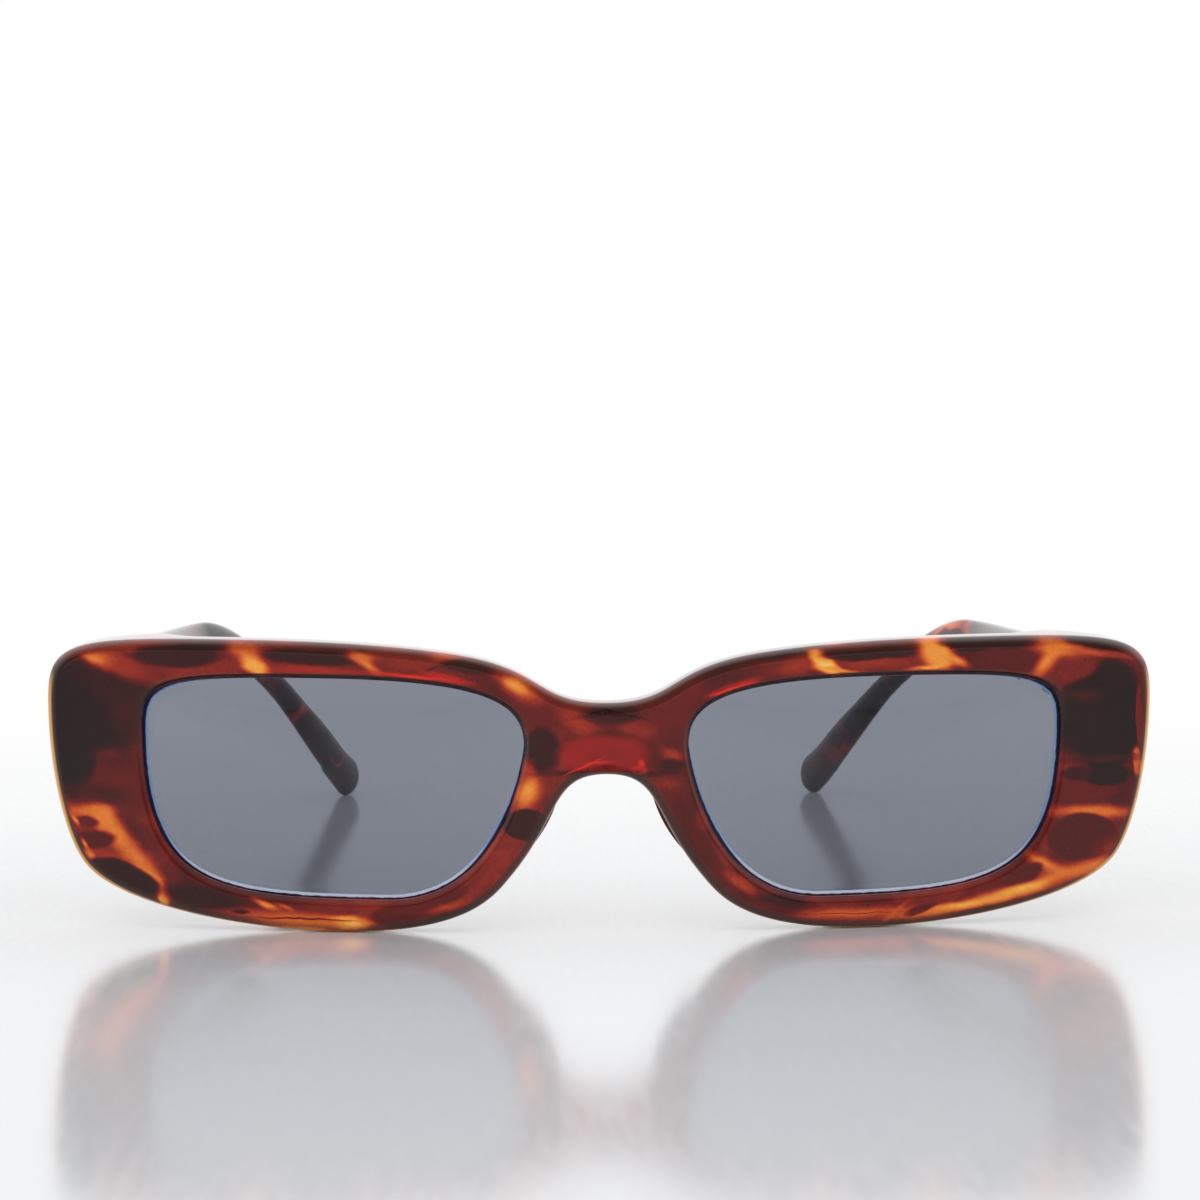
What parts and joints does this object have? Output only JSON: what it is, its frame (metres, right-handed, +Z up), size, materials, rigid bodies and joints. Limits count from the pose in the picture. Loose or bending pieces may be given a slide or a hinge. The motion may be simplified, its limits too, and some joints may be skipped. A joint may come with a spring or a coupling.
{
  "type": "sunglasses",
  "caption": "Chunky rectangular plastic sunglasses with flat grey lenses, moulded nose pads and temples that fold on barrel hinges.",
  "frame": {"origin": "on the table under the middle of the bounding box, in the plane of symmetry of the front", "axes": "+X to the wearer's left, +Y from the lenses back along the temples, +Z up as the glasses stand on a table"},
  "size_m": [0.142, 0.1474, 0.0374],
  "materials": {
    "shell": "polished translucent tortoiseshell plastic",
    "pad": "polished translucent plastic",
    "lens": "flat grey tint, polished",
    "hinge_metal": "satin nickel silver",
    "wire": "drawn wire"
  },
  "bodies": {
    "front": {"front_frame": "shell", "lens_left": "lens", "lens_right": "lens", "nose_pad_left": "pad", "nose_pad_right": "pad", "front_hinge_left": "hinge_metal", "front_hinge_right": "hinge_metal", "hinge_screw_left": "hinge_metal", "hinge_screw_right": "hinge_metal"},
    "left_temple": {"temple_left": "shell", "temple_hinge_left": "hinge_metal", "core_wire_left": "wire"},
    "right_temple": {"temple_right": "shell", "temple_hinge_right": "hinge_metal", "core_wire_right": "wire"}
  },
  "joints": [
    {"name": "fold_left", "type": "hinge", "parent": "front", "child": "left_temple", "pos_m": [0.06385, -0.05789, 0.0256], "axis": [0, 0, 1], "range_deg": [0, 78]},
    {"name": "fold_right", "type": "hinge", "parent": "front", "child": "right_temple", "pos_m": [-0.06385, -0.05789, 0.0256], "axis": [0, 0, -1], "range_deg": [0, 70]}
  ]
}
